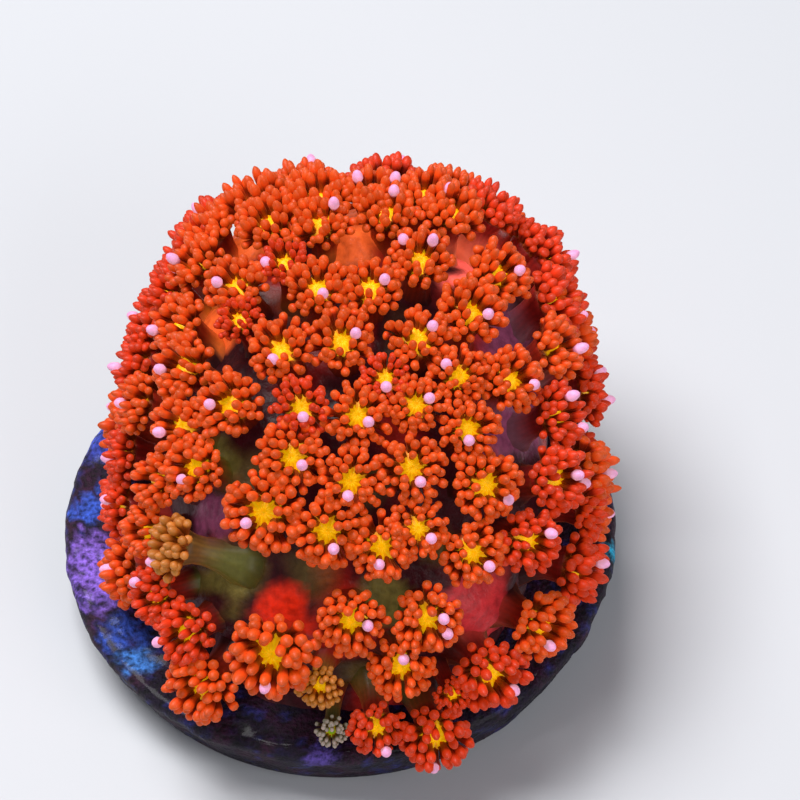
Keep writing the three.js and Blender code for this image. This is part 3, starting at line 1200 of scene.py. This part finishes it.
    def body(self, rng: np.random.Generator) -> Surface:
        """Makes the column with the mouth disc on its top.

        The column runs straight down the axis. Its rings are turned about the axis; the mouth disc
        has low ridges and a raised mouth.

        Args:
            rng: Source of the chance variations.

        Returns:
            The column and disc, in the polyp's own axes.
        """
        colours = TONES[self.site.tone]
        length = self.length / self.site.size
        foot, waist, wide = self.foot_radius, self.waist_radius, self.disc_radius
        profile = np.array([
            [foot * 1.5, -length], [foot * 1.15, -0.8 * length], [waist * 1.2, -0.62 * length],
            [waist, -0.42 * length], [waist * 1.05, -0.26 * length], [wide * 1.02, -0.5],
            [wide * 1.14, -0.25], [wide * 1.05, -0.06], [wide * 0.86, 0.02], [wide * 0.62, 0.06],
            [wide * 0.4, 0.14], [wide * 0.24, 0.22], [wide * 0.1, 0.16],
        ])
        radius, height = profile.T[..., None]
        angle = np.linspace(0, 2 * math.pi, COLUMN_SIDES, endpoint=False)
        ridge = np.cos(RIDGES * angle + rng.uniform(0, RIDGE_TURN))
        each = np.ones((len(profile), COLUMN_SIDES))
        top = smooth(*DISC_RISE, height) * each
        flute = 1 + FLUTE_DEPTH * (1 - top) * np.cos(FLUTES * angle)
        skin = turned(radius * flute, height + RIDGE_HEIGHT * top * ridge, angle)
        streak = (1 + STREAK_SHARE * np.cos(STREAKS * angle)) * each
        flesh = colours.column * streak[..., None]
        disc = mix(MOUTH_DEEP, colours.mouth, 0.6 + 0.4 * ridge * each)
        disc = mix(disc, colours.mouth, smooth(*LIP_RISE, height) * each)
        ends = np.array([[0, 0, -length], [0, 0, MOUTH_HEIGHT]])
        tips = np.stack([flesh[0, 0], colours.mouth])
        glow = COLUMN_GLOW + (MOUTH_GLOW - COLUMN_GLOW) * top.ravel()
        return closed(skin, ends, mix(flesh, disc, top), tips, np.append(glow, [COLUMN_GLOW, MOUTH_GLOW]))

    def surface(self) -> Surface:
        """Joins the column and tentacles, moves them into the frame and bends the column to its root.

        The column's points move toward the root by the square of their depth.

        Returns:
            The whole polyp.
        """
        rng = np.random.default_rng(SEED * SEED_STEP + self.seed)
        body = self.body(rng)
        whole = Surface.joined([body, self.tentacles(rng)])
        placed = whole.points * self.site.size
        bend = self.root - self.place + self.axis * self.length
        depth = np.clip(-placed[:, 2:] / self.length, 0, None)
        depth[len(body.points):] = 0
        whole.points = placed @ self.frame + self.place + bend * depth ** 2
        # Toward the root the column takes on the mound's colours, their painted shade with them.
        fleshy = smooth(*FLESHY, depth[:, 0])
        whole.tint = mix(whole.tint, self.paint.at(whole.points), fleshy)
        # Painted light: where the column has the mound's colour it glows like the mound.
        whole.glow = whole.glow + self.root_glow * fleshy
        return whole


FOLDS = (Wave(0.32, 4.0, 1), Wave(0.12, 1.6, 2))
PINK_BEHIND = (0.6, 0.3)  # Place of the pink ball of a polyp behind, by turns above and below the mouth


@dataclass
class Colony:
    """The coral: a flesh-covered mound with its polyps.

    Args:
        eye: The viewer, from whom the polyps' places are read.
        dome: The dome on which their mouths lie.
        disc_top: Height of the disc's top.
        lean: How much the polyps in view lean to the viewer.
        root_depth: How far under the flesh the columns' roots are.
        lowest_root: Least height of a root over the disc.
        stalk_lean: How much a polyp faces away from a root that is set aside.
        stray_step: Step between neighbours in the waves that move the polyps behind out of even rows.
        stray_bearing: Greatest move along the row, in degrees.
        stray_up: Greatest move up the dome, in degrees.
        up_wave: Wave number of the moves up.
        size_behind: Middle size of the polyps behind.
        stray_size: How much larger or smaller they are.
        size_wave: Wave number of the sizes.
        sides: Points round the mound.
        rings: Rings of the mound.
        top_share: Share of the greatest slope at which its last ring lies.
        slope: Greatest slope, in degrees from the vertical.
        floor_gap: Gap over the disc.
        skirt_height: Height over which the mound spreads outward to the disc.
        skirt_spread: Share by which it spreads.
        sink: How far under the gap its lowest ring lies.
    """

    eye: Eye
    dome: Dome
    disc_top: float
    lean: float = 0.32
    root_depth: float = 0.9
    lowest_root: float = 1.1
    stalk_lean: float = 0.45
    stray_step: float = 1.9
    stray_bearing: float = 3.0
    stray_up: float = 6.0
    up_wave: float = 1.3
    size_behind: float = 1.05
    stray_size: float = 0.1
    size_wave: float = 1.7
    sides: int = 160
    rings: int = 80
    top_share: float = 0.03
    slope: float = 118.0
    floor_gap: float = 0.05
    skirt_height: float = 1.2
    skirt_spread: float = 0.1
    sink: float = 0.15

    @property
    def paint(self) -> FleshPaint:
        """Colours of the flesh."""
        return FleshPaint(self.eye, self.disc_top)

    def polyps(self) -> list[Polyp]:
        """Places all polyps.

        Returns:
            The polyps, first those in view, then those behind.
        """
        right, up = np.array([(site.right, site.up) for site in SITES]).T
        places = self.dome.seen(self.eye, self.disc_top, right, up)
        to_eye = unit(np.array(self.eye.place) - places)
        axes = self.dome.normal(places)
        facing = np.clip((axes * to_eye).sum(-1, keepdims=True), 0, None)
        stalks = np.array([site.stalk for site in SITES]) @ np.stack([self.eye.right, self.eye.up])
        axes = unit(axes + self.lean * facing * to_eye - self.stalk_lean * stalks)
        sites = list(SITES)
        aside, above = PINK_BEHIND
        for row in ROWS_BEHIND:
            stray = row.slope + self.stray_step * np.arange(row.count)
            even = np.linspace(row.first, row.last, row.count)
            bearing = np.radians(even + self.stray_bearing * np.sin(stray))
            slope = np.radians(row.slope - self.stray_up * (0.5 + 0.5 * np.sin(self.up_wave * stray)))
            sizes = self.size_behind + self.stray_size * np.cos(self.size_wave * stray)
            behind = self.dome.point(turned(np.sin(slope), np.cos(slope), bearing), 0.0)
            places = np.concatenate([places, behind])
            axes = np.concatenate([axes, self.dome.normal(behind)])
            stalks = np.concatenate([stalks, np.zeros_like(behind)])
            sites += [
                Site(0, 0, size, ((aside, above * (-1) ** n),), (Tone.ORANGE, RED)[n % 2])
                for n, size in enumerate(sizes)
            ]
        inward = self.dome.from_middle(places + stalks)
        roots = self.dome.point(inward, self.dome.flesh_inset(inward) + self.root_depth)
        roots[:, 2] = np.maximum(roots[:, 2], self.disc_top + self.lowest_root)
        return [
            Polyp(f"polyp_{number + 1:03d}", place, axis, root, site, self.paint, number)
            for number, (place, axis, root, site) in enumerate(zip(places, axes, roots, sites))
        ]

    def flesh(self) -> Surface:
        """Makes the mound's flesh.

        It is the dome less a column's length, over a grid of bearing and slope, pushed in and out by
        two random ripples and the patches' bulges, and spread outward where it meets the disc.

        Returns:
            The mound.
        """
        slope = np.linspace(self.top_share, 1.0, self.rings)[::-1, None] * math.radians(self.slope)
        angle = np.linspace(0, 2 * math.pi, self.sides, endpoint=False)
        ways = turned(np.sin(slope), np.cos(slope), angle)
        even = self.dome.point(ways, self.dome.flesh_inset(ways))
        fold = rough(even, FOLDS) + self.paint.bulge(even)
        skin = even + self.dome.normal(even) * fold[..., None]
        floor = self.disc_top + self.floor_gap
        low = np.clip((floor + self.skirt_height - skin[..., 2]) / self.skirt_height, 0, 1)
        skirt = 1 + self.skirt_spread * low ** 2
        middle = np.array(self.dome.middle)[:2]
        skin[..., :2] = middle + (skin[..., :2] - middle) * skirt[..., None]
        skin[..., 2] = np.maximum(skin[..., 2], floor - self.sink)
        tint = self.paint.at(skin)
        # The whole mound glows: painted light that lifts its flesh and patches out of the crowns' shade.
        return closed(skin, skin[[0, -1]].mean(1), tint, tint[[0, -1], 0], 1.0)

    def build(self, flesh: bpy.types.Material, skin: bpy.types.Material) -> None:
        """Makes the mound and the polyps.

        Args:
            flesh: Material of the mound.
            skin: Material of the polyps.
        """
        make_piece("colony_flesh", self.flesh(), flesh, COLONY_NODE)
        for polyp in self.polyps():
            make_piece(polyp.name, polyp.surface(), skin, COLONY_NODE)


@dataclass(frozen=True)
class Patch:
    """A coloured patch of crust on the disc.

    Args:
        x: Place along X.
        y: Place along Y.
        radius: Its radius.
        colour: Its colour.
    """

    x: float
    y: float
    radius: float
    colour: np.ndarray


PATCHES = (
    Patch(-10.9, -2.3, 2.0, srgb(132, 96, 206)), Patch(-10.0, -3.0, 0.4, srgb(214, 84, 150)),
    Patch(-11.0, 5.1, 1.3, srgb(56, 72, 176)), Patch(-11.6, 1.2, 1.0, srgb(50, 84, 190)),
    Patch(-9.7, -5.9, 1.1, srgb(40, 74, 170)), Patch(-9.2, -7.3, 0.8, srgb(60, 120, 200)),
    Patch(12.3, -2.0, 0.4, srgb(40, 190, 235)), Patch(11.9, 2.0, 1.2, srgb(60, 40, 116)),
    Patch(12.2, 6.0, 1.0, srgb(50, 44, 120)), Patch(-1.0, -12.4, 0.7, srgb(86, 66, 150)),
)
CRUST_STAINS = (
    Stain(CRUST_MAROON, (Wave(1.0, 2.2, 20),), -0.4, 0.6),
    Stain(CRUST_BLUE, (Wave(1.0, 1.0, 21), Wave(0.5, 0.35, 22)), 0.4, 1.0, 0.5),
)
CRUST_LUMPS = (Wave(0.5, 3.0, 10), Wave(0.3, 1.2, 11), Wave(0.2, 0.6, 12))
CRUST_EDGE = (Wave(0.35, 0.9, 30), Wave(0.3, 0.3, 50))


@dataclass
class FragDisc:
    """The round disc under the colony, crusted with coralline algae.

    Args:
        radius: Radius at its top.
        foot: Radius at its underside.
        height: Its thickness.
        edge: Radius of its rounded top edge.
        bevel: How far in from the foot the flat underside ends.
        lip: Height at which the tapered side starts.
        hub: Radius at which the rings of the top end.
        sides: Points round it.
        side_rings: Rings up its side.
        edge_rings: Rings over its rounded edge.
        top_rings: Rings over its top.
        side_rise: Heights between which the crust on the side starts.
        top_fade: Height over which the crust of the side turns to that of the top.
        side_lump: Thickness of the lumps on the side.
        top_lump: Thickness of the lumps on the top.
        top_sink: How far the top lies under its height between the lumps.
        glow: Share of its colour with which it glows, as painted light.
        patch_depth: How far under the top the middles of the patches are.
        patch_fade: Shares of a patch's radius between which its colour fades.
        patch_share: Share of a patch's colour in its middle.
    """

    radius: float
    foot: float
    height: float
    edge: float = 0.55
    bevel: float = 0.3
    lip: float = 0.12
    hub: float = 1.0
    sides: int = 240
    side_rings: int = 12
    edge_rings: int = 6
    top_rings: int = 46
    side_rise: tuple[float, float] = (0.05, 0.5)
    top_fade: float = 0.7
    side_lump: float = 0.2
    top_lump: float = 0.14
    top_sink: float = 0.02
    glow: float = 0.2
    patch_depth: float = 0.3
    patch_fade: tuple[float, float] = (0.5, 1.2)
    patch_share: float = 0.85

    def outline(self) -> np.ndarray:
        """Outline of the disc.

        It runs from the flat underside out to the foot, up the tapered side, round the top edge on a
        quarter circle and in to the hub of the top.

        Returns:
            Radius and height of each ring.
        """
        bend = np.linspace(0, math.pi / 2, self.edge_rings)
        shoulder, spring = self.radius - self.edge, self.height - self.edge
        side = np.linspace((self.foot, self.lip), (self.radius, spring), self.side_rings)
        arc = np.stack([shoulder + self.edge * np.cos(bend), spring + self.edge * np.sin(bend)], -1)
        top = np.linspace((shoulder, self.height), (self.hub, self.height), self.top_rings)
        under = [[0.5 * self.foot, 0.0], [self.foot - self.bevel, 0.0]]
        return np.concatenate([under, side, arc[1:], top[1:]])

    def surface(self) -> Surface:
        """Makes the disc.

        Its outline is turned about Z. Everything but the underside is pushed out by random ripples:
        the crust.

        Returns:
            The disc.
        """
        radius, height = self.outline().T[..., None]
        points = turned(radius, height, np.linspace(0, 2 * math.pi, self.sides, endpoint=False))
        lump = rough(points, CRUST_LUMPS)
        on_top = smooth(self.height - self.top_fade, self.height, points[..., 2])
        aside = smooth(*self.side_rise, points[..., 2]) * (1 - on_top)
        out = unit(points * np.array([1, 1, 0]))
        points = points + out * (aside * self.side_lump * lump)[..., None]
        points[..., 2] += on_top * (self.top_lump * lump - self.top_sink)
        tint = self.paint(points)
        ends = np.array([[0, 0, 0], [0, 0, self.height]])
        return closed(points, ends, tint, tint[[0, -1], 0], self.glow)

    def paint(self, points: np.ndarray) -> np.ndarray:
        """Colours the crust: dark purple and maroon, with patches whose edges are broken by ripples.

        Args:
            points: Places on the disc.

        Returns:
            A colour for each place.
        """
        tint = stained(CRUST_BASE, CRUST_STAINS, points)
        for number, patch in enumerate(PATCHES):
            away = points - np.array([patch.x, patch.y, self.height - self.patch_depth])
            far = np.linalg.norm(away, axis=-1) / patch.radius + rough(points, CRUST_EDGE, number)
            tint = mix(tint, patch.colour, self.patch_share * (1 - smooth(*self.patch_fade, far)))
        return tint

    def build(self, crust: bpy.types.Material) -> None:
        """Makes the disc's object.

        Args:
            crust: Material of the crust.
        """
        make_piece("disc_crust", self.surface(), crust, DISC_NODE)


def posed(place: tuple[float, float, float], right: np.ndarray, up: np.ndarray, back: np.ndarray) -> Matrix:
    """Puts an object's axes in the frame.

    Args:
        place: Where the object is, in millimetres.
        right: Its own X, a unit vector in the frame.
        up: Its own Y.
        back: Its own Z, away from what it faces.

    Returns:
        The object's matrix.
    """
    turn = Matrix(np.stack([right, up, back], 1).tolist()).to_4x4()
    return Matrix.Translation([value * METRES for value in place]) @ turn


@dataclass(frozen=True)
class Lamp:
    """A square soft light that faces the middle of the colony.

    Args:
        name: Its name.
        place: Where it is.
        size: Its width.
        power: Its power in watts.
        aim: Height that it is aimed at, over the middle of the disc.
    """

    name: str
    place: tuple[float, float, float]
    size: float
    power: float
    aim: float = 8.0

    def build(self) -> None:
        """Makes the light."""
        light = bpy.data.lights.new(self.name, "AREA")
        light.size = self.size * METRES
        light.energy = self.power
        lamp = bpy.data.objects.new(self.name, light)
        away = unit(np.array(self.place) - self.aim * UP)
        right = unit(np.cross([0.0, 1.0, 0.0], away))
        lamp.matrix_world = posed(self.place, right, np.cross(away, right), away)
        bpy.context.scene.collection.objects.link(lamp)


@dataclass(frozen=True)
class Studio:
    """A pale floor, soft lights and the camera.

    Args:
        eye: Where the camera is and how it looks.
        floor_size: Width of the floor.
        floor_colour: Its colour.
        floor_roughness: Its roughness.
        sky_colour: Colour of the light from all round.
        sky_strength: Strength of that light.
        lamps: The soft lights.
        near: Distance from which the camera sees, in metres.
        far: Distance to which it sees.
    """

    eye: Eye
    floor_size: float = 3000.0
    floor_colour: tuple[float, float, float, float] = (0.6, 0.61, 0.64, 1.0)
    floor_roughness: float = 0.9
    sky_colour: tuple[float, float, float, float] = (0.86, 0.9, 1.0, 1.0)
    sky_strength: float = 0.2
    lamps: tuple[Lamp, ...] = (
        Lamp("key_light", (-60.0, 40.0, 220.0), 120.0, 0.66),
        Lamp("fill_light", (140.0, -160.0, 140.0), 160.0, 0.22),
    )
    near: float = 0.01
    far: float = 20.0

    def build(self) -> None:
        """Makes the floor, the lights and the camera."""
        scene = bpy.context.scene
        half = 0.5 * self.floor_size * METRES
        corners = [(-half, -half, 0), (half, -half, 0), (half, half, 0), (-half, half, 0)]
        mesh = bpy.data.meshes.new("studio_floor")
        mesh.from_pydata(corners, [], [(0, 1, 2, 3)])
        paint = bpy.data.materials.new("pale floor")
        paint.use_nodes = True
        set_inputs(paint.node_tree.nodes["Principled BSDF"], {
            "Base Color": self.floor_colour, "Roughness": self.floor_roughness,
        })
        mesh.materials.append(paint)
        floor = bpy.data.objects.new("studio_floor", mesh)
        scene.collection.objects.link(floor)
        world = bpy.data.worlds.new("studio")
        world.use_nodes = True
        set_inputs(world.node_tree.nodes["Background"], {
            "Color": self.sky_colour, "Strength": self.sky_strength,
        })
        scene.world = world
        for lamp in self.lamps:
            lamp.build()
        camera = bpy.data.cameras.new("front_camera")
        camera.sensor_width = SENSOR
        camera.lens = self.eye.lens
        camera.clip_start = self.near
        camera.clip_end = self.far
        view = bpy.data.objects.new("front_camera", camera)
        view.matrix_world = posed(self.eye.place, self.eye.right, self.eye.up, -self.eye.look)
        scene.collection.objects.link(view)
        scene.camera = view
        scene.view_settings.view_transform = "Standard"


def main() -> None:
    """Builds the studio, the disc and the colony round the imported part."""
    logging.basicConfig(level=logging.INFO, format="%(name)s: %(message)s")
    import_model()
    low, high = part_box(DISC_NODE)
    height = high.z / METRES
    radius = 0.5 * (high.x - low.x) / METRES
    eye = Eye()
    Studio(eye).build()
    living_skin = LivingSkin().build()
    # The crust glows a little: painted light.
    crust = SkinFinish(
        "coralline crust", roughness=0.7, glow=0.4, coat=0.1, mottle=0.8, grain=0.22, depth=0.25
    ).material(living_skin)
    # The mound's strong glow is painted light that lifts its patches out of the crowns' shade.
    flesh = SkinFinish(
        "mound flesh", roughness=0.5, glow=0.8, coat=0.04, mottle=0.3, grain=0.4, depth=0.12
    ).material(living_skin)
    skin = SkinFinish(
        "polyp skin", roughness=0.5, glow=0.6, coat=0.04, mottle=0.12, grain=0.25, depth=0.02,
        scatter=0.12, sheen=0.35, warmth=1.8,
    ).material(living_skin)
    FragDisc(radius + CRUST_THICKNESS, radius - DISC_TAPER, height).build(crust)
    Colony(eye, Dome(), height).build(flesh, skin)


if __name__ == "__main__":
    main()
